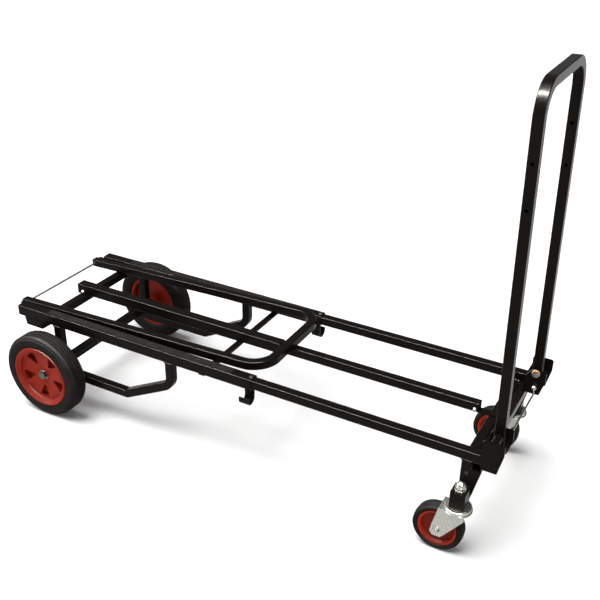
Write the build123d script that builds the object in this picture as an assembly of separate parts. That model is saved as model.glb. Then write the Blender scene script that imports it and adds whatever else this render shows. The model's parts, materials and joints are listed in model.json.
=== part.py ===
from build123d import *
import math
import os

# Convertible hand truck, rear wheels at -X, swivel casters at +X, ground at Z = 0.
# Every x below is measured from the rear axle; SHIFT_X centres the finished object.

# --- main frame tubes ---
MAIN = 25.0
MAIN_WALL = 2.0
RAIL_Y = 153.0
RAIL_Z = 217.0
MAIN_X0 = -108.0
MAIN_X1 = 528.0
CENTRE_X0 = -62.0
CENTRE_X1 = 508.0
CORNER = 2.2
CROSS = 19.0
CROSS_WALL = 1.5
REAR_CROSS_X = -48.0
SCREW_X = 159.0
STOP_X = 522.0
SCREW_R = 2.5
HOOK_X = 514.0
HOOK_W = 22.0
HOOK_T = 3.5
HOOK_STEM_Y = 147.0
HOOK_BOWL_R = 12.0
HOOK_BOWL_Z = 180.0
HOOK_LIP_Z = 186.0
HOOK_FOOT = 3.0
MID_FLAT_X = 404.0
MID_FLAT_W = 15.0
MID_FLAT_T = 4.0

# --- extension frame tubes ---
EXT = 20.0
EXT_WALL = 1.5
EXT_X0 = 452.0
EXT_X1 = 1013.0
EXT_CENTRE_X0 = 432.0
EXT_CENTRE_X1 = 958.0
EXT_CROSS_X = 1008.0
EXT_CROSS_REAR_X = 988.0
SLIDE_TRAVEL = 400.0
BOLT_R = 3.0
STRAP_T = 3.0

# --- rear wheels and axle ---
TYRE_R = 101.6
TYRE_W = 46.0
WHEEL_Y = 208.0
RIM_R = 74.0
AXLE_R = 6.0
AXLE_HALF = 224.0
HUB_R = 19.0
POCKETS = 5
POCKET_PHASE = 20.0

# --- struts and skid loops ---
STRUT_X = 6.0
LOOP_Y = 156.0
LOOP_Z = TYRE_R - CROSS
LOOP_X0 = -10.0
LOOP_KNEE_X = 195.0
LOOP_RISE_X = 320.0
LOOP_RISE_Z = 147.0
LOOP_BEND = 30.0
LOOP_KNEE_BEND = 14.0

# --- handles ---
HANDLE_TUBE = 19.0
HANDLE_WALL = 1.5
HANDLE_HALF = 134.5
FRONT_REACH = 640.0
FRONT_TAIL = 21.0
REAR_REACH = 662.0
REAR_TAIL = 7.0
HANDLE_BEND = 50.0
HANDLE_HOLES = (203.0, 126.0)
HANDLE_HOLE_R = 3.2
HANDLE_LEAN = 1.3
REAR_LIFT = 1.8
PIVOT_R = 4.0
REAR_PIVOT_R = 2.5
PIVOT_BOSS_R = 8.0
PIVOT_BOSS_Y = 137.0
PIVOT_CLEAR = 0.1
PIVOT_SKIN = 1.0
REAR_PIVOT_X = -118.0
REAR_PIVOT_Z = 217.5
FRONT_PIVOT_X = 1034.0
FRONT_PIVOT_Z = 257.5

# --- brackets ---
PLATE = 3.0
EAR_X0 = -124.0
EAR_X1 = -78.0
EAR_TOP = 226.0
CHEEK_OUT = 165.5
CHEEK_IN = 112.0
CHEEK_X1 = 1055.0
CHEEK_TOP = 265.0
CHEEK_LOW = 199.0
WEB_TOP = 246.0
TIE_ROD_X = 1036.0
TIE_ROD_Z = 209.0
TIE_ROD_R = 2.0
TIE_END_Y = 104.0
TIE_END_Z = 226.0
TIE_BALL_R = 5.0

# --- casters ---
STEM_X = 988.0
CASTER_Y = 178.0
CASTER_R = 50.8
CASTER_W = 28.0
TRAIL = 33.0
CASTER_RIM_R = 42.0
BLOCK = 30.0
BLOCK_LOW = 113.0
BLOCK_TOP = 150.0
STEM_R = 6.0
RACE_R = 26.0
RACE_LOW = 106.5
FORK_T = 2.5
FORK_GAP = 32.0
CROWN_Z = 103.5
CASTER_AXLE_R = 4.0
LEG_Y = 152.5
RUN = 0.05
GAP = 0.4

LIFT = math.radians(REAR_LIFT)
REAR_X0 = REAR_PIVOT_X - REAR_TAIL * math.cos(LIFT) - HANDLE_TUBE / 2 * math.sin(LIFT)
SHIFT_X = -(REAR_X0 + CHEEK_X1) / 2
RAIL_TOP = RAIL_Z + MAIN / 2
RAIL_LOW = RAIL_Z - MAIN / 2
EXT_LOW = RAIL_Z - EXT / 2


def block(x0, x1, y0, y1, z0, z1):
    """Plain box between two corners."""
    size = (x1 - x0, y1 - y0, z1 - z0)
    return Pos((x0 + x1) / 2, (y0 + y1) / 2, (z0 + z1) / 2) * Box(*size)


def rod(axis, radius, length, centre):
    """Round bar centred on a point, along X, Y or Z."""
    turn = {"X": Rot(0, 90, 0), "Y": Rot(90, 0, 0), "Z": Rot(0, 0, 0)}[axis]
    return Pos(*centre) * turn * Cylinder(radius, length)


def hexagon(axis, across, height, centre):
    """Hexagonal prism centred on a point, with slightly broken corners."""
    turn = {"X": Rot(0, 90, 0), "Y": Rot(90, 0, 0), "Z": Rot(0, 0, 0)}[axis]
    prism = extrude(RegularPolygon(across / 2, 6, major_radius=False), height / 2, both=True)
    keep = Cylinder(across / math.sqrt(3) * 0.96, height)
    return Pos(*centre) * turn * (prism & keep)


def square_tube_x(side, wall, x0, x1, y, z):
    """Rounded square tube along X."""
    profile = RectangleRounded(side, side, CORNER)
    profile -= RectangleRounded(side - 2 * wall, side - 2 * wall, max(CORNER - wall, 0.4))
    tube = extrude(profile, x1 - x0)
    return Pos(x0, y, z) * Rot(0, 90, 0) * tube


def square_tube_y(side, wall, y0, y1, x, z):
    """Rounded square tube along Y."""
    profile = RectangleRounded(side, side, CORNER)
    profile -= RectangleRounded(side - 2 * wall, side - 2 * wall, max(CORNER - wall, 0.4))
    tube = extrude(profile, y1 - y0)
    return Pos(x, y0, z) * Rot(-90, 0, 0) * tube


def square_tube_z(side, wall, z0, z1, x, y):
    """Rounded square tube along Z."""
    profile = RectangleRounded(side, side, CORNER)
    profile -= RectangleRounded(side - 2 * wall, side - 2 * wall, max(CORNER - wall, 0.4))
    return Pos(x, y, z0) * extrude(profile, z1 - z0)


def plate_xz(points, y0, y1):
    """Flat plate cut to a polygon in the XZ plane, between two y values."""
    outline = Polygon(*[(x, -z) for x, z in points], align=None)
    return Pos(0, y0, 0) * Rot(-90, 0, 0) * extrude(outline, y1 - y0, dir=(0, 0, 1))


def swept_tube(points, radii, side, wall, normal):
    """Square tube swept along a polyline whose corners are rounded."""
    pieces = []
    start = Vector(*points[0])
    for index in range(1, len(points) - 1):
        corner = Vector(*points[index])
        back = (Vector(*points[index - 1]) - corner).normalized()
        ahead = (Vector(*points[index + 1]) - corner).normalized()
        half = math.radians(back.get_angle(ahead)) / 2
        reach = radii[index - 1] / math.tan(half)
        first = corner + back * reach
        last = corner + ahead * reach
        pieces.append(Line(start, first))
        pieces.append(TangentArc(first, last, tangent=back * -1))
        start = last
    pieces.append(Line(start, Vector(*points[-1])))
    path = Wire(Curve(pieces).edges())
    heading = Vector(*points[1]) - Vector(*points[0])
    plane = Plane(Vector(*points[0]), x_dir=Vector(*normal), z_dir=heading)
    outer = sweep(plane * RectangleRounded(side, side, CORNER), path)
    inner = sweep(plane * RectangleRounded(side - 2 * wall, side - 2 * wall, 0.7), path)
    return outer - inner


# ---------------------------------------------------------------- main frame
def main_rail(side):
    """Outer main tube, open at the front for the extension tube, drilled for its screws."""
    tube = square_tube_x(MAIN, MAIN_WALL, MAIN_X0, MAIN_X1, side * RAIL_Y, RAIL_Z)
    for x, z in ((SCREW_X, RAIL_LOW), (MID_FLAT_X, RAIL_LOW), (STOP_X, RAIL_TOP)):
        tube -= rod("Z", SCREW_R, 4 * MAIN_WALL, (x, side * RAIL_Y, z))
    return tube


def centre_rail():
    """Middle main tube, drilled crosswise near its rear end for its bolt."""
    tube = square_tube_x(MAIN, MAIN_WALL, CENTRE_X0, CENTRE_X1, 0, RAIL_Z)
    return tube - rod("Y", BOLT_R, MAIN + 2, (REAR_CROSS_X, 0, RAIL_LOW + 6))


def centre_bolts():
    """Dome-headed bolt through the rear end of the middle tube."""
    x, z = REAR_CROSS_X, RAIL_LOW + 6
    shank = rod("Y", BOLT_R, MAIN + 6, (x, 1.0, z))
    head = Pos(x, -MAIN / 2, z) * Rot(90, 0, 0) * screw_head(5.2, 3.6)
    nut = hexagon("Y", 10.0, 5.0, (x, MAIN / 2 + 2.5, z))
    return shank + head + nut


def rear_cross_tube():
    """Square tube across the underside of the three main tubes, at the back."""
    end = CHEEK_OUT - PLATE
    return square_tube_y(CROSS, CROSS_WALL, -end, end, REAR_CROSS_X, RAIL_LOW - CROSS / 2)


def mid_cross_flat():
    """Thin flat bar across the underside of the main tubes."""
    half = RAIL_Y + MAIN / 2 - 3
    bar = block(
        MID_FLAT_X - MID_FLAT_W / 2, MID_FLAT_X + MID_FLAT_W / 2, -half, half, RAIL_LOW - MID_FLAT_T, RAIL_LOW
    )
    for side in (-1, 1):
        bar -= rod("Z", SCREW_R, 3 * MID_FLAT_T, (MID_FLAT_X, side * RAIL_Y, RAIL_LOW - MID_FLAT_T / 2))
    return bar


def screw_head(radius, height):
    """Low conical screw head seated at the origin."""
    return Cone(radius, 0.65 * radius, height, align=(Align.CENTER, Align.CENTER, Align.MIN))


def arc_points(centre, radius, start, end, steps):
    """Points along a circular arc, angles in degrees."""
    angles = [math.radians(start + (end - start) * step / steps) for step in range(steps + 1)]
    return [(centre[0] + radius * math.cos(a), centre[1] + radius * math.sin(a)) for a in angles]


def tie_hook(side):
    """Tie-down hook bent from wide flat strip, welded under the mouth of a main tube and open outwards."""
    half = HOOK_T / 2
    y = HOOK_STEM_Y
    bowl = (y + HOOK_BOWL_R, HOOK_BOWL_Z)
    outline = [(y - half - HOOK_FOOT, RAIL_LOW), (y - half, RAIL_LOW - HOOK_FOOT)]
    outline += arc_points(bowl, HOOK_BOWL_R + half, 180, 360, 20)
    outline += [(y + 2 * HOOK_BOWL_R + half, HOOK_LIP_Z - half)]
    outline += arc_points((y + 2 * HOOK_BOWL_R, HOOK_LIP_Z - half), half, 30, 150, 4)
    outline += [(y + 2 * HOOK_BOWL_R - half, HOOK_LIP_Z - half)]
    outline += arc_points(bowl, HOOK_BOWL_R - half, 360, 180, 20)
    outline += [(y + half, RAIL_LOW - HOOK_FOOT), (y + half + HOOK_FOOT, RAIL_LOW)]
    strip = extrude(Polygon(*outline, align=None), HOOK_W, dir=(0, 0, 1))
    hook = Plane(origin=(HOOK_X - HOOK_W / 2, 0, 0), x_dir=(0, 1, 0), z_dir=(1, 0, 0)) * strip
    return hook if side > 0 else mirror(hook, Plane.XZ)


def strut(side):
    """Short upright tube from the axle tube to a main tube."""
    return square_tube_z(CROSS, CROSS_WALL, TYRE_R + CROSS / 2, RAIL_LOW, STRUT_X, side * LOOP_Y)


def skid_loop(side):
    """Bent guard tube: forward from under the axle, up a slope, then straight up to the main tube."""
    y = side * LOOP_Y
    points = [
        (LOOP_X0, y, LOOP_Z),
        (LOOP_KNEE_X, y, LOOP_Z),
        (LOOP_RISE_X, y, LOOP_RISE_Z),
        (LOOP_RISE_X, y, RAIL_LOW),
    ]
    return swept_tube(points, (LOOP_KNEE_BEND, LOOP_BEND), CROSS, CROSS_WALL, (0, 1, 0))


def axle_tube():
    """Square tube that carries the rear axle; the struts stand on it and the loops run under it."""
    end = LOOP_Y + CROSS / 2
    return square_tube_y(CROSS, CROSS_WALL, -end, end, 0, TYRE_R)


def axle_rod():
    """Rear axle, a plain round bar through the axle tube, with a collar seated at each tube end."""
    bar = rod("Y", AXLE_R, 2 * AXLE_HALF, (0, 0, TYRE_R))
    end = LOOP_Y + CROSS / 2
    for side in (-1, 1):
        bar += rod("Y", CROSS / 2 - CROSS_WALL - 0.2, 3.0, (0, side * (end - 1.5), TYRE_R))
    return bar


def axle_spacers():
    """Short tubes on the axle between the axle tube and the wheel hubs."""
    inner = LOOP_Y + CROSS / 2
    outer = WHEEL_Y - TYRE_W / 2 + 2.0 - GAP
    spacers = []
    for side in (-1, 1):
        centre = (0, side * (inner + outer) / 2, TYRE_R)
        ring = rod("Y", 9.0, outer - inner, centre) - rod("Y", AXLE_R, outer - inner + 2, centre)
        spacers.append(ring)
    return Compound(children=spacers)


def grip_strip(side):
    """Thin gritty strip on the top face of an outer main tube."""
    return block(-22.0, 478.0, side * RAIL_Y - 9.5, side * RAIL_Y + 9.5, RAIL_TOP, RAIL_TOP + 1.2)


def rear_ear(side):
    """Upright plate on the inner face of a main tube that holds one end of the rear pivot rod."""
    inner = RAIL_Y - MAIN / 2
    points = [
        (MAIN_X0, RAIL_LOW),
        (EAR_X1, RAIL_LOW),
        (EAR_X1, EAR_TOP - 6),
        (EAR_X1 - 6, EAR_TOP),
        (EAR_X0 + 4, EAR_TOP),
        (EAR_X0, EAR_TOP - 4),
        (EAR_X0, EAR_TOP - 14),
    ]
    plate = plate_xz(points, inner - PLATE, inner)
    plate -= rod("Y", REAR_PIVOT_R, 4 * PLATE, (REAR_PIVOT_X, inner, REAR_PIVOT_Z))
    return plate if side > 0 else mirror(plate, Plane.XZ)


def gusset(side):
    """Flat plate under a main tube that closes the end of the rear cross tube."""
    points = [
        (-90.0, RAIL_LOW),
        (-86.0, RAIL_LOW - CROSS),
        (-38.0, RAIL_LOW - CROSS),
        (-12.0, RAIL_LOW),
    ]
    plate = plate_xz(points, CHEEK_OUT - PLATE, CHEEK_OUT)
    return plate if side > 0 else mirror(plate, Plane.XZ)


def rear_pivot_rod():
    """Thin bright rod the rear handle turns on."""
    inner = RAIL_Y - MAIN / 2
    return rod("Y", REAR_PIVOT_R, 2 * inner, (REAR_PIVOT_X, 0, REAR_PIVOT_Z))


def rail_screws():
    """Round-headed screws in the underside of the outer main tubes."""
    screws = []
    for side in (-1, 1):
        for x, z in ((SCREW_X, RAIL_LOW), (MID_FLAT_X, RAIL_LOW - MID_FLAT_T)):
            head = Pos(x, side * RAIL_Y, z) * Rot(180, 0, 0) * screw_head(4.6, 3.2)
            shank_top = RAIL_LOW + MAIN_WALL
            shank = rod("Z", SCREW_R, shank_top - z, (x, side * RAIL_Y, (shank_top + z) / 2))
            screws.append(head + shank)
    return Compound(children=screws)


def stop_screw(side):
    """Low-headed stop screw in the top of an outer main tube, just behind its mouth."""
    head = Pos(STOP_X, side * RAIL_Y, RAIL_TOP) * screw_head(4.4, 2.4)
    return head + rod("Z", SCREW_R, MAIN_WALL, (STOP_X, side * RAIL_Y, RAIL_TOP - MAIN_WALL / 2))


def rail_caps():
    """Moulded plugs set flush in the rear ends of the three main tubes."""
    inner = MAIN - 2 * MAIN_WALL - 0.3
    caps = []
    for x, y in ((MAIN_X0, -RAIL_Y), (MAIN_X0, RAIL_Y), (CENTRE_X0, 0)):
        caps.append(block(x, x + 10.0, y - inner / 2, y + inner / 2, RAIL_Z - inner / 2, RAIL_Z + inner / 2))
    return Compound(children=caps)


def axle_washers():
    """Flat washers outside the wheel hubs."""
    rings = []
    for side in (-1, 1):
        centre = (0, side * (WHEEL_Y + 7.0 + GAP + 0.8), TYRE_R)
        rings.append(rod("Y", 11.0, 1.6, centre) - rod("Y", AXLE_R, 4, centre))
    return Compound(children=rings)


def axle_nuts():
    """Lock nuts that hold the rear wheels on the axle."""
    nuts = []
    for side in (-1, 1):
        y = WHEEL_Y + 7.0 + GAP + 1.6
        centre = (0, side * (y + 3.5), TYRE_R)
        nuts.append(hexagon("Y", 18.0, 7.0, centre) - rod("Y", AXLE_R, 12, centre))
    return Compound(children=nuts)


# ---------------------------------------------------------------- rear wheels
def ring_of(profile_points, centre):
    """Solid of revolution about the Y axis through a point; profile is (radius, y)."""
    face = Polygon(*profile_points, align=None)
    body = revolve(Plane.XY * face, Axis.Y, 360)
    return Pos(*centre) * body


def rear_tyre(side):
    """Solid rubber tyre with four grooves round its tread."""
    half = TYRE_W / 2
    profile = [
        (RIM_R - 6.0, -half + 5.0),
        (RIM_R, -half + 1.5),
        (RIM_R + 8.0, -half),
        (TYRE_R - 9.0, -half),
        (TYRE_R - 2.5, -half + 4.0),
        (TYRE_R, -half + 9.0),
    ]
    for y in (-11.0, -4.0, 4.0, 11.0):
        profile += [(TYRE_R, y - 1.2), (TYRE_R - 2.4, y - 0.7), (TYRE_R - 2.4, y + 0.7), (TYRE_R, y + 1.2)]
    profile += [
        (TYRE_R, half - 9.0),
        (TYRE_R - 2.5, half - 4.0),
        (TYRE_R - 9.0, half),
        (RIM_R + 8.0, half),
        (RIM_R, half - 1.5),
        (RIM_R - 6.0, half - 5.0),
    ]
    return ring_of(profile, (0, side * WHEEL_Y, TYRE_R))


def rear_rim(side):
    """Moulded rim: barrel, dished web with triangular pockets, and hub."""
    half = TYRE_W / 2
    barrel = RIM_R - 6.0
    bore = AXLE_R + RUN
    lip = [
        (bore, -half + 2.0),
        (HUB_R, -half + 2.0),
        (HUB_R, -3.5),
        (barrel - 6.0, -2.0),
        (barrel - 5.0, -half + 6.0),
        (barrel, -half + 5.0),
        (barrel, half - 5.0),
        (RIM_R, half - 1.5),
        (RIM_R - 0.8, half + 0.4),
        (RIM_R - 3.0, half + 0.8),
        (barrel - 5.0, half - 6.0),
        (barrel - 6.0, 13.0),
        (HUB_R + 2.0, 8.0),
        (HUB_R - 1.0, 7.0),
        (bore, 7.0),
    ]
    rim = ring_of(lip, (0, 0, 0))
    for index in range(POCKETS):
        angle = POCKET_PHASE + index * 360.0 / POCKETS
        outline = Polygon((24.0, 0.0), (56.0, -15.0), (60.0, 0.0), (56.0, 15.0), align=None)
        outline = fillet(outline.vertices(), 3.0)
        pocket = extrude(outline, 30.0, dir=(0, 0, 1))
        pocket = Pos(0, 1.5, 0) * Rot(-90, 0, 0) * Rot(0, 0, angle) * pocket
        rim -= pocket
    if side < 0:
        rim = mirror(rim, Plane.XZ)
    return Pos(0, side * WHEEL_Y, TYRE_R) * rim


# ---------------------------------------------------------------- handles
def handle(reach, tail, pivot_radius):
    """U-shaped square-tube handle standing up from its pivot at the origin."""
    y = HANDLE_HALF - HANDLE_TUBE / 2
    top = reach - HANDLE_TUBE / 2
    points = [(0, -y, -tail), (0, -y, top), (0, y, top), (0, y, -tail)]
    tube = swept_tube(points, (HANDLE_BEND, HANDLE_BEND), HANDLE_TUBE, HANDLE_WALL, (1, 0, 0))
    tube -= rod("Y", pivot_radius + PIVOT_CLEAR, 4 * HANDLE_HALF, (0, 0, 0))
    for drop in HANDLE_HOLES:
        tube -= rod("Y", HANDLE_HOLE_R, 4 * HANDLE_HALF, (0, 0, reach - drop))
    return tube


def rear_handle():
    """Rear handle folded down along the deck, its crossbar just above the middle extension tube."""
    folded = Rot(0, 90 - REAR_LIFT, 0) * handle(REAR_REACH, REAR_TAIL, REAR_PIVOT_R)
    return Pos(REAR_PIVOT_X, 0, REAR_PIVOT_Z) * folded


def front_handle():
    """Front handle, standing nearly upright."""
    raised = Rot(0, -HANDLE_LEAN, 0) * handle(FRONT_REACH, FRONT_TAIL, PIVOT_R)
    return Pos(FRONT_PIVOT_X, 0, FRONT_PIVOT_Z) * raised


# ---------------------------------------------------------------- extension frame
def ext_rail(side):
    """Outer extension tube that slides in a main tube."""
    return square_tube_x(EXT, EXT_WALL, EXT_X0, EXT_X1, side * RAIL_Y, RAIL_Z)


def ext_centre_rail():
    """Middle extension tube, drilled crosswise at its front end."""
    tube = square_tube_x(EXT, EXT_WALL, EXT_CENTRE_X0, EXT_CENTRE_X1, 0, RAIL_Z)
    return tube - rod("Y", BOLT_R, EXT + 2, (EXT_CENTRE_X1 - 7, 0, EXT_LOW + 5))


def ext_bolt():
    """Dome-headed bolt through the front end of the middle extension tube."""
    x, z = EXT_CENTRE_X1 - 7, EXT_LOW + 5
    shank = rod("Y", BOLT_R, EXT + 6, (x, 1.0, z))
    head = Pos(x, -EXT / 2, z) * Rot(90, 0, 0) * screw_head(4.8, 3.4)
    nut = hexagon("Y", 10.0, 5.0, (x, EXT / 2 + 2.5, z))
    return shank + head + nut


def centre_strap():
    """Flat tongue from the end of the middle extension tube over the two cross tubes."""
    half = EXT / 2 - CORNER
    return block(EXT_CENTRE_X1, EXT_CROSS_X + CROSS / 2, -half, half, EXT_LOW, EXT_LOW + STRAP_T)


def ext_cross_tube(x, half):
    """Square tube across the underside of the extension tubes."""
    return square_tube_y(CROSS, CROSS_WALL, -half, half, x, EXT_LOW - CROSS / 2)


def caster_leg(side):
    """Upright tube from an outer extension tube down to its caster block."""
    return square_tube_z(CROSS, CROSS_WALL, BLOCK_LOW, EXT_LOW, STEM_X, side * LEG_Y)


def leg_brace(side):
    """Flat bar sloping from the cross tube down to the foot of a caster leg, with a thin web behind it."""
    low_x = STEM_X + CROSS / 2
    top_x = EXT_CROSS_X + CROSS / 2
    top_z = EXT_LOW - CROSS
    points = [
        (low_x, 126.0),
        (low_x, 117.0),
        (low_x + 4.0, 118.0),
        (top_x, top_z),
        (top_x - 5.0, top_z),
    ]
    outer = LEG_Y + CROSS / 2 - 1
    plate = plate_xz(points, LEG_Y - CROSS / 2 + 1, outer)
    plate += plate_xz([points[0], points[2], points[3], (low_x, top_z)], outer - PLATE, outer)
    return plate if side > 0 else mirror(plate, Plane.XZ)


def caster_block(side):
    """Solid block beside the foot of a leg, bored for the caster stem."""
    y0 = LEG_Y + CROSS / 2
    y1 = CASTER_Y + BLOCK / 2
    body = block(STEM_X - BLOCK / 2, STEM_X + BLOCK / 2, y0, y1, BLOCK_LOW, BLOCK_TOP)
    body = fillet(body.edges().filter_by(Axis.Z), 1.5)
    body -= rod("Z", STEM_R, 200, (STEM_X, CASTER_Y, BLOCK_LOW))
    return body if side > 0 else mirror(body, Plane.XZ)


def caster_stem(side):
    """Threaded stem fixed in the block, with the round head the fork turns on at its lower end."""
    y = side * CASTER_Y
    shank = rod("Z", STEM_R, BLOCK_TOP + 9 - CROWN_Z, (STEM_X, y, (BLOCK_TOP + 9 + CROWN_Z) / 2))
    head = rod("Z", 9.0, 0.8, (STEM_X, y, CROWN_Z - 0.4))
    return shank + head


def acorn_nut(side):
    """Domed nut and its washer on top of the caster block."""
    y = side * CASTER_Y
    washer = rod("Z", 11.5, 1.8, (STEM_X, y, BLOCK_TOP + 0.9))
    nut = hexagon("Z", 19.0, 8.0, (STEM_X, y, BLOCK_TOP + 1.8 + 4.0))
    dome = Pos(STEM_X, y, BLOCK_TOP + 9.0) * Sphere(9.0)
    dome -= block(STEM_X - 12, STEM_X + 12, y - 12, y + 12, BLOCK_TOP - 5, BLOCK_TOP + 9.0)
    nut = washer + nut + dome
    return nut - rod("Z", STEM_R, 9.0, (STEM_X, y, BLOCK_TOP + 4.5))


def raceway(side):
    """Upper swivel race clamped under the caster block."""
    y = side * CASTER_Y
    ring = rod("Z", RACE_R, BLOCK_LOW - RACE_LOW - GAP, (STEM_X, y, (BLOCK_LOW + RACE_LOW + GAP) / 2))
    ring = fillet(ring.edges().filter_by(GeomType.CIRCLE).sort_by(Axis.Z)[-1:], 2.0)
    return ring - rod("Z", STEM_R, 60, (STEM_X, y, BLOCK_LOW))


def front_bracket(side):
    """Bent U-shaped bracket on the front end of an outer extension tube: web and two cheeks."""
    cheek = [
        (EXT_X1, CHEEK_LOW + 8),
        (EXT_X1 + 8, CHEEK_LOW),
        (CHEEK_X1 - 9, CHEEK_LOW),
        (CHEEK_X1, CHEEK_LOW + 41),
        (CHEEK_X1, CHEEK_TOP - 3),
        (CHEEK_X1 - 3, CHEEK_TOP),
        (EXT_X1 + 4, CHEEK_TOP),
        (EXT_X1, CHEEK_TOP - 5),
    ]
    inner = [
        (EXT_X1, CHEEK_LOW + 9),
        (CHEEK_X1 - 9, CHEEK_LOW + 9),
        (CHEEK_X1, CHEEK_LOW + 41),
        (CHEEK_X1, CHEEK_TOP - 3),
        (CHEEK_X1 - 3, CHEEK_TOP),
        (EXT_X1 + 14, CHEEK_TOP),
        (EXT_X1, WEB_TOP),
    ]
    low = EXT_LOW
    body = plate_xz(cheek, CHEEK_OUT - PLATE, CHEEK_OUT)
    body += plate_xz(inner, CHEEK_IN - PLATE, CHEEK_IN)
    body += block(EXT_X1, EXT_X1 + PLATE, CHEEK_IN - PLATE, CHEEK_OUT, low + 1, WEB_TOP)
    seat = CHEEK_OUT - PLATE
    body += rod("Y", PIVOT_BOSS_R, seat - PIVOT_BOSS_Y, (FRONT_PIVOT_X, (seat + PIVOT_BOSS_Y) / 2, FRONT_PIVOT_Z))
    bore_end = CHEEK_OUT - PIVOT_SKIN
    body -= rod("Y", PIVOT_R, bore_end, (FRONT_PIVOT_X, bore_end / 2, FRONT_PIVOT_Z))
    body -= rod("Y", TIE_ROD_R, CHEEK_IN, (TIE_ROD_X, CHEEK_IN / 2 + PLATE, TIE_END_Z))
    return body if side > 0 else mirror(body, Plane.XZ)


def front_pivot(side):
    """Pivot bolt of one front handle leg, fixed in the two cheeks, with its head inboard."""
    outer = CHEEK_OUT - PIVOT_SKIN
    length = outer - CHEEK_IN + PLATE
    centre = (outer + CHEEK_IN - PLATE) / 2
    pin = rod("Y", PIVOT_R, length, (FRONT_PIVOT_X, centre, FRONT_PIVOT_Z))
    pin += hexagon("Y", 13.0, 5.0, (FRONT_PIVOT_X, CHEEK_IN - PLATE - 1.2 - 2.5, FRONT_PIVOT_Z))
    pin += rod("Y", PIVOT_R, 3.0, (FRONT_PIVOT_X, CHEEK_IN - PLATE - 1.0, FRONT_PIVOT_Z))
    return pin if side > 0 else mirror(pin, Plane.XZ)


def pivot_washers():
    """Brass-coloured washers under the heads of the two pivot bolts."""
    rings = []
    for side in (-1, 1):
        centre = (FRONT_PIVOT_X, side * (CHEEK_IN - PLATE - 0.6), FRONT_PIVOT_Z)
        rings.append(rod("Y", 8.5, 1.2, centre) - rod("Y", PIVOT_R, 5, centre))
    return Compound(children=rings)


def tie_rod():
    """Thin bright link bar between the front brackets, its ends turned up into the inner cheeks at a ball."""
    bar = rod("Y", TIE_ROD_R, 2 * TIE_END_Y, (TIE_ROD_X, 0, TIE_ROD_Z))
    for side in (-1, 1):
        y = side * TIE_END_Y
        bar += Pos(TIE_ROD_X, y, TIE_ROD_Z) * Sphere(TIE_ROD_R)
        bar += rod("Z", TIE_ROD_R, TIE_END_Z - TIE_ROD_Z, (TIE_ROD_X, y, (TIE_END_Z + TIE_ROD_Z) / 2))
        bar += Pos(TIE_ROD_X, y, TIE_END_Z) * Sphere(TIE_BALL_R)
        stub_end = CHEEK_IN + 1.0
        stub = (TIE_ROD_X, side * (TIE_END_Y + stub_end) / 2, TIE_END_Z)
        bar += rod("Y", TIE_ROD_R, stub_end - TIE_END_Y, stub)
    return bar


# ---------------------------------------------------------------- casters
def caster_fork(side):
    """Pressed swivel fork: crown plate, lower race ring and two tapering cheeks."""
    y = side * CASTER_Y
    wheel_x = STEM_X - TRAIL
    crown_top = RACE_LOW
    crown_low = CROWN_Z + 0.6
    crown = rod("Z", RACE_R + 1.5, crown_top - crown_low, (STEM_X, y, (crown_top + crown_low) / 2))
    half = FORK_GAP / 2 + FORK_T
    crown += block(STEM_X - 32, STEM_X + 18, y - half, y + half, crown_low, crown_top)
    body = crown
    for cheek_side in (-1, 1):
        near = min(cheek_side * FORK_GAP / 2, cheek_side * half)
        outline = [
            (STEM_X - 32, crown_top),
            (STEM_X + 18, crown_top),
            (STEM_X + 18, crown_top - 14),
            (wheel_x + 15, CASTER_R - 7),
            (wheel_x + 9, CASTER_R - 13),
            (wheel_x - 6, CASTER_R - 13),
            (wheel_x - 12, CASTER_R - 5),
            (wheel_x - 9, CASTER_R + 12),
        ]
        body += plate_xz(outline, y + near, y + near + FORK_T)
    body -= rod("Z", STEM_R + RUN, 60, (STEM_X, y, crown_top))
    body -= rod("Y", CASTER_AXLE_R, 100, (wheel_x, y, CASTER_R))
    return body


def caster_axle(side):
    """Axle bolt of a caster wheel, with head and nut outside the fork."""
    y = side * CASTER_Y
    wheel_x = STEM_X - TRAIL
    half = FORK_GAP / 2 + FORK_T
    bolt = rod("Y", CASTER_AXLE_R, 2 * half + 4, (wheel_x, y, CASTER_R))
    bolt += hexagon("Y", 13.0, 5.0, (wheel_x, y + half + 2.5, CASTER_R))
    bolt += hexagon("Y", 13.0, 5.0, (wheel_x, y - half - 2.5, CASTER_R))
    return bolt


def caster_tyre(side):
    """Rubber tread of a caster wheel."""
    half = CASTER_W / 2
    profile = [
        (CASTER_RIM_R - 3, -half + 4),
        (CASTER_RIM_R, -half + 1.0),
        (CASTER_R - 4, -half),
        (CASTER_R - 1.2, -half + 3),
        (CASTER_R, 0),
        (CASTER_R - 1.2, half - 3),
        (CASTER_R - 4, half),
        (CASTER_RIM_R, half - 1.0),
        (CASTER_RIM_R - 3, half - 4),
    ]
    return ring_of(profile, (STEM_X - TRAIL, side * CASTER_Y, CASTER_R))


def caster_rim(side):
    """Moulded caster wheel centre with a dished face on each side and a plain hub."""
    half = CASTER_W / 2
    edge = CASTER_RIM_R - 3
    bore = CASTER_AXLE_R + RUN
    profile = [
        (bore, -half),
        (12.0, -half),
        (13.5, -5.0),
        (edge - 7, -5.0),
        (edge - 4, -half + 2.5),
        (edge, -half + 2.0),
        (edge, -half + 4.0),
        (edge, half - 4.0),
        (edge, half - 2.0),
        (edge - 4, half - 2.5),
        (edge - 7, 5.0),
        (13.5, 5.0),
        (12.0, half),
        (bore, half),
    ]
    return ring_of(profile, (STEM_X - TRAIL, side * CASTER_Y, CASTER_R))


SIDES = {"left": 1, "right": -1}


def pair(maker):
    """The left and right copies of a small piece as separate solids."""
    return Compound(children=[maker(side) for side in SIDES.values()])


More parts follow.
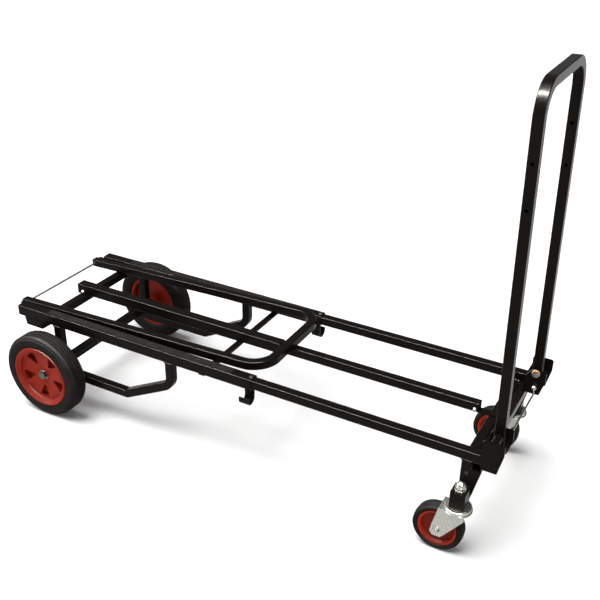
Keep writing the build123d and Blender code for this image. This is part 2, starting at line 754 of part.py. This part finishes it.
def build_nodes():
    """All named nodes in the axle-based frame."""
    nodes = {
        "centre_rail": centre_rail(),
        "centre_bolt": centre_bolts(),
        "rear_cross_tube": rear_cross_tube(),
        "mid_cross_flat": mid_cross_flat(),
        "axle_tube": axle_tube(),
        "axle_rod": axle_rod(),
        "axle_spacers": axle_spacers(),
        "axle_washers": axle_washers(),
        "axle_nuts": axle_nuts(),
        "rear_pivot_rod": rear_pivot_rod(),
        "rail_screws": rail_screws(),
        "stop_screws": pair(stop_screw),
        "rail_caps": rail_caps(),
        "rear_handle": rear_handle(),
        "front_handle": front_handle(),
        "ext_rail_centre": ext_centre_rail(),
        "ext_bolt": ext_bolt(),
        "centre_strap": centre_strap(),
        "ext_cross_front": ext_cross_tube(EXT_CROSS_X, RAIL_Y + EXT / 2 - 1),
        "ext_cross_rear": ext_cross_tube(EXT_CROSS_REAR_X, LEG_Y - CROSS / 2),
        "pivot_washers": pivot_washers(),
        "tie_rod": tie_rod(),
        "acorn_nuts": pair(acorn_nut),
        "front_pivots": pair(front_pivot),
        "caster_stems": pair(caster_stem),
        "raceways": pair(raceway),
        "grip_strips": pair(grip_strip),
        "gussets": pair(gusset),
    }
    makers = {
        "main_rail": main_rail,
        "tie_hook": tie_hook,
        "strut": strut,
        "skid_loop": skid_loop,
        "rear_ear": rear_ear,
        "rear_tyre": rear_tyre,
        "rear_rim": rear_rim,
        "ext_rail": ext_rail,
        "caster_leg": caster_leg,
        "leg_brace": leg_brace,
        "caster_block": caster_block,
        "front_bracket": front_bracket,
        "caster_fork": caster_fork,
        "caster_axle": caster_axle,
        "caster_tyre": caster_tyre,
        "caster_rim": caster_rim,
    }
    for name, maker in makers.items():
        for label, side in SIDES.items():
            nodes[name + "_" + label] = maker(side)
    return nodes


os.makedirs("parts", exist_ok=True)
for node, shape in build_nodes().items():
    export_step(Pos(SHIFT_X, 0, 0) * shape, "parts/" + node + ".step")
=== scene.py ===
import json
import math

import bmesh
import bpy
from mathutils import Matrix, Vector


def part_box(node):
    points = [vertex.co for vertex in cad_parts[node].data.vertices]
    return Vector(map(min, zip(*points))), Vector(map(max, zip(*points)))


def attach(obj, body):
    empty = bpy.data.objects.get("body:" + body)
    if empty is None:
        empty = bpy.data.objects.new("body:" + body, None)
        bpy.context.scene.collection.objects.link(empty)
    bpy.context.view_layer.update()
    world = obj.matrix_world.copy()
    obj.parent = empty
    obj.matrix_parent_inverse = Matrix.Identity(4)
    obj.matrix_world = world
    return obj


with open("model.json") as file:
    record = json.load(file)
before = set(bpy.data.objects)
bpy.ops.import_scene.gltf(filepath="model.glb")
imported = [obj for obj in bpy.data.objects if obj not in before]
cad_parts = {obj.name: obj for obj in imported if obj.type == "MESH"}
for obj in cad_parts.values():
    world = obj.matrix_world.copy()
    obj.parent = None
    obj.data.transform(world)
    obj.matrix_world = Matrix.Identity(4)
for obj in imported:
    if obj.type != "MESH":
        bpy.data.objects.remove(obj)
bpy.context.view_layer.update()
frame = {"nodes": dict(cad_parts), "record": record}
record = frame["record"]
nodes = frame["nodes"]


# ------------------------------------------------------------------ node helpers
class Graph:
    """Small helper that adds and links shader nodes of one material."""

    def __init__(self, name):
        self.material = bpy.data.materials.new(name)
        self.material.use_nodes = True
        self.tree = self.material.node_tree
        self.shader = self.tree.nodes["Principled BSDF"]
        self.coords = self.add("ShaderNodeTexCoord").outputs["Object"]

    def add(self, kind, **values):
        node = self.tree.nodes.new(kind)
        for key, value in values.items():
            setattr(node, key, value)
        return node

    def link(self, output, socket):
        self.tree.links.new(output, socket)

    def plain(self, **values):
        """Values that are the same all over, set on the shader's own sockets."""
        for key, value in values.items():
            self.shader.inputs[key.replace("_", " ")].default_value = value

    def noise(self, scale, detail=4.0, roughness=0.55, stretch=None):
        """Noise over the object's own coordinates; scale is in features per metre."""
        source = self.coords
        if stretch:
            mapping = self.add("ShaderNodeMapping")
            mapping.inputs["Scale"].default_value = stretch
            self.link(source, mapping.inputs["Vector"])
            source = mapping.outputs["Vector"]
        node = self.add("ShaderNodeTexNoise")
        node.inputs["Scale"].default_value = scale
        node.inputs["Detail"].default_value = detail
        node.inputs["Roughness"].default_value = roughness
        self.link(source, node.inputs["Vector"])
        return node.outputs["Fac"]

    def cells(self, scale):
        """Distance to the nearest cell centre over the object's own coordinates."""
        node = self.add("ShaderNodeTexVoronoi", feature="F1")
        node.inputs["Scale"].default_value = scale
        self.link(self.coords, node.inputs["Vector"])
        return node.outputs["Distance"]

    def math(self, operation, first, second=0.0):
        """One sum of one or two values, each a number or an output."""
        node = self.add("ShaderNodeMath", operation=operation)
        for socket, value in zip(node.inputs, (first, second)):
            if isinstance(value, (int, float)):
                socket.default_value = value
            else:
                self.link(value, socket)
        return node.outputs[0]

    def spread(self, value, low, high, to_low, to_high):
        """Maps a range of one value to another range."""
        node = self.add("ShaderNodeMapRange")
        self.link(value, node.inputs["Value"])
        keys = ("From Min", "From Max", "To Min", "To Max")
        for key, number in zip(keys, (low, high, to_low, to_high)):
            node.inputs[key].default_value = number
        return node.outputs["Result"]

    def ramp(self, value, stops):
        """Colour ramp; stops are (place, colour)."""
        node = self.add("ShaderNodeValToRGB")
        band = node.color_ramp
        while len(band.elements) < len(stops):
            band.elements.new(0.5)
        for element, (place, colour) in zip(band.elements, stops):
            element.position = place
            element.color = (*colour, 1.0)
        self.link(value, node.inputs["Fac"])
        return node.outputs["Color"]

    def blend(self, factor, first, second):
        """Mix of two colours by a factor; a colour mix uses the node's sockets 0, 6 and 7."""
        node = self.add("ShaderNodeMix", data_type="RGBA")
        sockets = (node.inputs[0], node.inputs[6], node.inputs[7])
        for socket, value in zip(sockets, (factor, first, second)):
            if isinstance(value, tuple):
                socket.default_value = (*value, 1.0)
            else:
                self.link(value, socket)
        return node.outputs[2]

    def bump(self, height, distance, strength, below=None):
        """Bump over an optional coarser bump."""
        node = self.add("ShaderNodeBump")
        node.inputs["Distance"].default_value = distance
        node.inputs["Strength"].default_value = strength
        self.link(height, node.inputs["Height"])
        if below is not None:
            self.link(below, node.inputs["Normal"])
        return node.outputs["Normal"]

    def open_faces(self, low, high):
        """0 in hollows, rising to 1 on flats and convex edges; its inverse masks the painted
        shade in hollows.
        """
        sharp = self.add("ShaderNodeNewGeometry").outputs["Pointiness"]
        return self.spread(sharp, low, high, 0.0, 1.0)

    def radius_from(self, centre):
        """Distance from a wheel's own axis, which runs along Y."""
        shift = self.add("ShaderNodeVectorMath", operation="SUBTRACT")
        self.link(self.coords, shift.inputs[0])
        shift.inputs[1].default_value = centre
        flat = self.add("ShaderNodeVectorMath", operation="MULTIPLY")
        self.link(shift.outputs["Vector"], flat.inputs[0])
        flat.inputs[1].default_value = (1.0, 0.0, 1.0)
        length = self.add("ShaderNodeVectorMath", operation="LENGTH")
        self.link(flat.outputs["Vector"], length.inputs[0])
        return length.outputs["Value"]


# ------------------------------------------------------------------ finishes
def black_paint():
    """Semi-gloss powder coat: fine orange peel, faint warm drift and a little dust."""
    g = Graph("black_paint")
    drift = g.noise(9.0, 3.0)
    peel = g.noise(900.0, 2.0, 0.5)
    grime = g.noise(46.0, 6.0, 0.62)
    tone = g.ramp(drift, [(0.32, (0.0050, 0.0036, 0.0028)), (0.68, (0.0068, 0.0049, 0.0038))])
    tone = g.blend(g.spread(grime, 0.50, 0.84, 0.0, 0.30), tone, (0.0100, 0.0076, 0.0060))
    g.link(tone, g.shader.inputs["Base Color"])
    rough = g.math(
        "ADD",
        g.spread(drift, 0.3, 0.7, 0.225, 0.237),
        g.spread(grime, 0.45, 0.8, 0.0, 0.008),
    )
    g.link(rough, g.shader.inputs["Roughness"])
    g.link(g.bump(peel, 0.0003, 0.12), g.shader.inputs["Normal"])
    g.plain(Specular_IOR_Level=0.035)
    return g.material


def dark_steel():
    """Black-finished steel with a rougher, slightly brushed surface."""
    g = Graph("dark_steel")
    grain = g.noise(260.0, 5.0, 0.6, (1.0, 6.0, 1.0))
    tone = g.ramp(grain, [(0.35, (0.012, 0.011, 0.011)), (0.7, (0.036, 0.033, 0.031))])
    g.link(tone, g.shader.inputs["Base Color"])
    g.link(g.spread(grain, 0.3, 0.7, 0.34, 0.52), g.shader.inputs["Roughness"])
    g.link(g.bump(grain, 0.0003, 0.35), g.shader.inputs["Normal"])
    g.plain(Metallic=0.2, Specular_IOR_Level=0.15)
    return g.material


def zinc(name, low, high):
    """Zinc plate: crystals between two tones, fine drawing lines, and painted shade darkening
    the creases.
    """
    g = Graph(name)
    spangle = g.cells(340.0)
    lines = g.noise(520.0, 4.0, 0.6, (1.0, 1.0, 7.0))
    tone = g.ramp(spangle, [(0.1, low), (0.75, high)])
    # Painted shade: the colour is darkened towards a dark grey where the surface is hollow
    # (creases and inner corners).
    painted_crease_shade = g.math("SUBTRACT", 1.0, g.open_faces(0.40, 0.49))
    tone = g.blend(g.math("MULTIPLY", painted_crease_shade, 0.6), tone, (0.06, 0.06, 0.057))
    g.link(tone, g.shader.inputs["Base Color"])
    g.link(g.spread(lines, 0.3, 0.7, 0.16, 0.30), g.shader.inputs["Roughness"])
    g.link(g.bump(lines, 0.0002, 0.20), g.shader.inputs["Normal"])
    g.plain(Metallic=1.0)
    return g.material


def brass_washer():
    """Coppery brass with a light tarnish."""
    g = Graph("brass_washer")
    tarnish = g.noise(420.0, 5.0, 0.6)
    tone = g.ramp(tarnish, [(0.35, (0.50, 0.26, 0.13)), (0.65, (0.80, 0.50, 0.30))])
    g.link(tone, g.shader.inputs["Base Color"])
    g.link(g.spread(tarnish, 0.3, 0.7, 0.22, 0.40), g.shader.inputs["Roughness"])
    g.plain(Metallic=1.0)
    return g.material


def red_plastic():
    """Satin moulded red-orange plastic with flow marks, and painted shade darkening the
    creases.
    """
    g = Graph("red_plastic")
    flow = g.noise(34.0, 4.0, 0.6)
    skin = g.noise(900.0, 2.0, 0.5)
    tone = g.ramp(flow, [(0.3, (0.225, 0.014, 0.006)), (0.7, (0.290, 0.021, 0.009))])
    # Painted shade: the colour is darkened towards a dark red where the surface is hollow
    # (creases and inner corners).
    painted_crease_shade = g.math("SUBTRACT", 1.0, g.open_faces(0.42, 0.495))
    tone = g.blend(g.math("MULTIPLY", painted_crease_shade, 0.7), tone, (0.06, 0.003, 0.002))
    g.link(tone, g.shader.inputs["Base Color"])
    g.link(g.spread(flow, 0.3, 0.7, 0.36, 0.44), g.shader.inputs["Roughness"])
    g.link(g.bump(skin, 0.0002, 0.12), g.shader.inputs["Normal"])
    g.plain(Specular_IOR_Level=0.04)
    return g.material


def rubber(name, wheel, ring_step):
    """Matt black rubber with a fine skin and moulded rings round the wheel's own axis."""
    g = Graph(name)
    low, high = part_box(wheel)
    centre = (low + high) / 2
    radius = g.radius_from((centre.x, 0.0, centre.z))
    rings = g.math("SINE", g.math("MULTIPLY", radius, 2.0 * math.pi / ring_step))
    skin = g.noise(700.0, 4.0, 0.6)
    dust = g.noise(60.0, 6.0, 0.65)
    tone = g.ramp(dust, [(0.40, (0.0050, 0.0038, 0.0032)), (0.78, (0.0150, 0.0120, 0.0100))])
    g.link(tone, g.shader.inputs["Base Color"])
    g.link(g.spread(dust, 0.3, 0.8, 0.52, 0.76), g.shader.inputs["Roughness"])
    coarse = g.bump(rings, 0.0006, 0.30)
    g.link(g.bump(skin, 0.0005, 0.35, coarse), g.shader.inputs["Normal"])
    g.plain(Specular_IOR_Level=0.035)
    return g.material


def grip_strip():
    """Coarse mineral grit set in a black strip, with paler worn grains."""
    g = Graph("grip_strip")
    grains = g.cells(210.0)
    fine = g.noise(700.0, 3.0, 0.7)
    patch = g.noise(38.0, 4.0, 0.6)
    grain_light = g.math(
        "MULTIPLY",
        g.spread(grains, 0.36, 0.10, 0.0, 1.0),
        g.spread(fine, 0.42, 0.62, 0.0, 1.0),
    )
    tone = g.ramp(patch, [(0.3, (0.0045, 0.0036, 0.0030)), (0.7, (0.0100, 0.0080, 0.0068))])
    tone = g.blend(grain_light, tone, (0.120, 0.104, 0.090))
    g.link(tone, g.shader.inputs["Base Color"])
    g.link(g.spread(fine, 0.3, 0.7, 0.45, 0.85), g.shader.inputs["Roughness"])
    coarse = g.bump(g.math("SUBTRACT", 1.0, grains), 0.0010, 0.9)
    g.link(g.bump(fine, 0.0005, 0.6, coarse), g.shader.inputs["Normal"])
    g.plain(Specular_IOR_Level=0.02)
    return g.material


def black_plastic():
    """Matt moulded plug with a fine spark-eroded texture."""
    g = Graph("black_plastic")
    skin = g.noise(650.0, 4.0, 0.65)
    tone = g.ramp(skin, [(0.3, (0.0045, 0.0042, 0.0040)), (0.7, (0.0100, 0.0095, 0.0090))])
    g.link(tone, g.shader.inputs["Base Color"])
    g.link(g.spread(skin, 0.3, 0.7, 0.50, 0.68), g.shader.inputs["Roughness"])
    g.link(g.bump(skin, 0.0004, 0.35), g.shader.inputs["Normal"])
    g.plain(Specular_IOR_Level=0.12)
    return g.material


def weld_metal():
    """Painted weld seams, a little paler and rougher than the paint round them."""
    g = Graph("weld_seam")
    ripple = g.noise(620.0, 3.0, 0.55)
    tone = g.ramp(ripple, [(0.35, (0.0050, 0.0038, 0.0032)), (0.7, (0.0120, 0.0092, 0.0076))])
    g.link(tone, g.shader.inputs["Base Color"])
    g.link(g.spread(ripple, 0.3, 0.7, 0.24, 0.38), g.shader.inputs["Roughness"])
    g.link(g.bump(ripple, 0.0005, 0.40), g.shader.inputs["Normal"])
    g.plain(Specular_IOR_Level=0.05)
    return g.material


REAR_RING_STEP = 0.0042
CASTER_RING_STEP = 0.0030
finishes = {
    "black_paint": black_paint(),
    "dark_steel": dark_steel(),
    "zinc": zinc("zinc", (0.24, 0.243, 0.225), (0.36, 0.362, 0.335)),
    "brass_washer": brass_washer(),
    "red_plastic": red_plastic(),
    "rubber_tread": rubber("rubber_tread", "rear_tyre_left", REAR_RING_STEP),
    "grip_strip": grip_strip(),
    "black_plastic": black_plastic(),
}
caster_rubber = rubber("caster_rubber", "caster_tyre_left", CASTER_RING_STEP)
# Painted shade: a darker copy of the zinc finish for the axle rod, axle nuts and centre bolt.
shaded_zinc = zinc("shaded_zinc", (0.045, 0.043, 0.040), (0.085, 0.082, 0.076))
SHADED_ZINC_NODES = ("axle_rod", "axle_nuts", "centre_bolt")

for entry in record["subparts"]:
    node = nodes[entry["node"]]
    finish = finishes[entry["material_slot"]]
    if entry["node"].startswith("caster_tyre"):
        finish = caster_rubber
    # These parts get the darker zinc copy, which is painted shade.
    if entry["node"] in SHADED_ZINC_NODES:
        finish = shaded_zinc
    node.data.materials.clear()
    node.data.materials.append(finish)


# ------------------------------------------------------------------ weld seams
seam_paint = weld_metal()
BEAD = 0.0019  # radius of the bead
RIPPLE = 0.0016  # length of one ripple
VALLEY = 0.84  # radius between two ripples, as a share of the bead's
WANDER = 0.10  # slow change of radius along the bead
WANDER_STEP = 0.73  # phase of that change per point, in radians
SIDES = 8  # corners of the bead's cross-section
TUBE = 0.019  # width of the loop's own tube


def loop_points(corners, step):
    """Evenly spaced points round a closed run of corners."""
    points = []
    for start, end in zip(corners, corners[1:] + corners[:1]):
        count = max(2, round((end - start).length / step))
        points += [start.lerp(end, index / count) for index in range(count)]
    return points


def seam(name, body, corners):
    """Rippled weld bead along a closed loop of corners."""
    points = loop_points([Vector(c) for c in corners], RIPPLE / 2)
    mesh = bmesh.new()
    rings = []
    total = len(points)
    for index, point in enumerate(points):
        ahead = (points[(index + 1) % total] - points[index - 1]).normalized()
        side = ahead.orthogonal().normalized()
        up = ahead.cross(side)
        crest = 1.0 if index % 2 else VALLEY
        reach = BEAD * crest * (1.0 + WANDER * math.sin(index * WANDER_STEP))
        ring = []
        for corner in range(SIDES):
            angle = corner * 2 * math.pi / SIDES
            outward = side * math.cos(angle) + up * math.sin(angle)
            ring.append(mesh.verts.new(point + outward * reach))
        rings.append(ring)
    for index in range(total):
        first, second = rings[index], rings[(index + 1) % total]
        offset = min(range(SIDES), key=lambda turn: (first[0].co - second[turn].co).length)
        for corner in range(SIDES):
            mesh.faces.new(
                (
                    first[corner],
                    first[(corner + 1) % SIDES],
                    second[(corner + 1 + offset) % SIDES],
                    second[(corner + offset) % SIDES],
                )
            )
    bmesh.ops.recalc_face_normals(mesh, faces=mesh.faces)
    data = bpy.data.meshes.new(name)
    mesh.to_mesh(data)
    mesh.free()
    for face in data.polygons:
        face.use_smooth = True
    data.materials.append(seam_paint)
    piece = bpy.data.objects.new(name, data)
    bpy.context.scene.collection.objects.link(piece)
    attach(piece, body)


def flat_loop(low, high, z):
    """Corners of a rectangle at one height."""
    return [(low.x, low.y, z), (high.x, low.y, z), (high.x, high.y, z), (low.x, high.y, z)]


for side in ("left", "right"):
    low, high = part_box("strut_" + side)
    seam("weld_strut_top_" + side, "main_frame", flat_loop(low, high, high.z))
    seam("weld_strut_foot_" + side, "main_frame", flat_loop(low, high, low.z))
    low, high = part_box("skid_loop_" + side)
    riser = Vector((high.x - TUBE, low.y, high.z))
    seam("weld_loop_" + side, "main_frame", flat_loop(riser, high, high.z))
    low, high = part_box("caster_leg_" + side)
    seam("weld_leg_" + side, "extension", flat_loop(low, high, high.z))

# ------------------------------------------------------------------ setting
FLOOR_HALF = 30.0
WORLD_FILL = 0.30  # what the surroundings add to the light
WORLD_SEEN = 1.0  # how bright they look from the camera
SUN_STRENGTH = 3.9
SUN_ANGLE = math.radians(45.0)
SUN_FROM = (-0.25, -0.20, 1.0)
STRIP_TINT = (1.0, 0.97, 0.94)

floor_mesh = bmesh.new()
bmesh.ops.create_grid(floor_mesh, x_segments=8, y_segments=8, size=FLOOR_HALF)
floor_data = bpy.data.meshes.new("floor")
floor_mesh.to_mesh(floor_data)
floor_mesh.free()
floor = bpy.data.objects.new("floor", floor_data)
bpy.context.scene.collection.objects.link(floor)
paper = Graph("studio_paper")
paper.link(
    paper.ramp(paper.noise(3.0, 2.0), [(0.3, (0.89, 0.89, 0.89)), (0.7, (0.91, 0.91, 0.905))]),
    paper.shader.inputs["Base Color"],
)
paper.plain(Roughness=0.9, Specular_IOR_Level=0.1)
floor_data.materials.append(paper.material)

world = bpy.data.worlds.new("studio")
bpy.context.scene.world = world
world.use_nodes = True
backdrop = world.node_tree.nodes["Background"]
backdrop.inputs["Color"].default_value = (1.0, 1.0, 1.0, 1.0)
seen = world.node_tree.nodes.new("ShaderNodeLightPath")
strength = world.node_tree.nodes.new("ShaderNodeMapRange")
strength.inputs["To Min"].default_value = WORLD_FILL
strength.inputs["To Max"].default_value = WORLD_SEEN
world.node_tree.links.new(seen.outputs["Is Camera Ray"], strength.inputs["Value"])
world.node_tree.links.new(strength.outputs["Result"], backdrop.inputs["Strength"])


def strip(name, place, target, width, height, power):
    """Rectangular light aimed at a point, which shows in glossy reflections only."""
    data = bpy.data.lights.new(name, "AREA")
    data.shape = "RECTANGLE"
    data.size = width
    data.size_y = height
    data.energy = power
    data.color = STRIP_TINT
    lamp = bpy.data.objects.new(name, data)
    lamp.location = place
    lamp.rotation_euler = (Vector(target) - Vector(place)).to_track_quat("-Z", "Y").to_euler()
    lamp.visible_diffuse = False
    bpy.context.scene.collection.objects.link(lamp)


sky = bpy.data.lights.new("overhead", "SUN")
sky.energy = SUN_STRENGTH
sky.angle = SUN_ANGLE
overhead = bpy.data.objects.new("overhead", sky)
overhead.rotation_euler = Vector(SUN_FROM).to_track_quat("Z", "Y").to_euler()
bpy.context.scene.collection.objects.link(overhead)
# The long strip overhead runs along the frame and draws the bright line on each tube's edge.
strip("strip_top", (-0.5, -0.7, 2.5), (-0.5, 0.0, 0.2), 3.6, 0.35, 2200.0)
strip("strip_left", (-2.6, -1.2, 1.6), (0.0, 0.0, 0.3), 1.0, 1.0, 220.0)
strip("strip_right", (2.2, -2.2, 2.4), (0.45, 0.0, 0.8), 0.3, 1.4, 160.0)

# ------------------------------------------------------------------ camera
AZIMUTH = math.radians(28.352)
ELEVATION = math.radians(28.323)
ROLL = math.radians(0.914)
PLACE = (0.85905, -1.43459, 1.22337)
SENSOR = 36.0
FOCAL_LENGTH = 52.85

forward = Vector(
    (
        -math.sin(AZIMUTH) * math.cos(ELEVATION),
        math.cos(AZIMUTH) * math.cos(ELEVATION),
        -math.sin(ELEVATION),
    )
)
level = Vector((math.cos(AZIMUTH), math.sin(AZIMUTH), 0.0))
upright = level.cross(forward)
right = level * math.cos(ROLL) + upright * math.sin(ROLL)
up = upright * math.cos(ROLL) - level * math.sin(ROLL)
lens = bpy.data.cameras.new("camera")
lens.sensor_width = SENSOR
lens.lens = FOCAL_LENGTH
lens.clip_end = 100.0
camera = bpy.data.objects.new("camera", lens)
turned = Matrix((right, up, -forward)).transposed().to_4x4()
camera.matrix_world = Matrix.Translation(PLACE) @ turned
bpy.context.scene.collection.objects.link(camera)
bpy.context.scene.camera = camera
bpy.context.scene.view_settings.view_transform = "Standard"
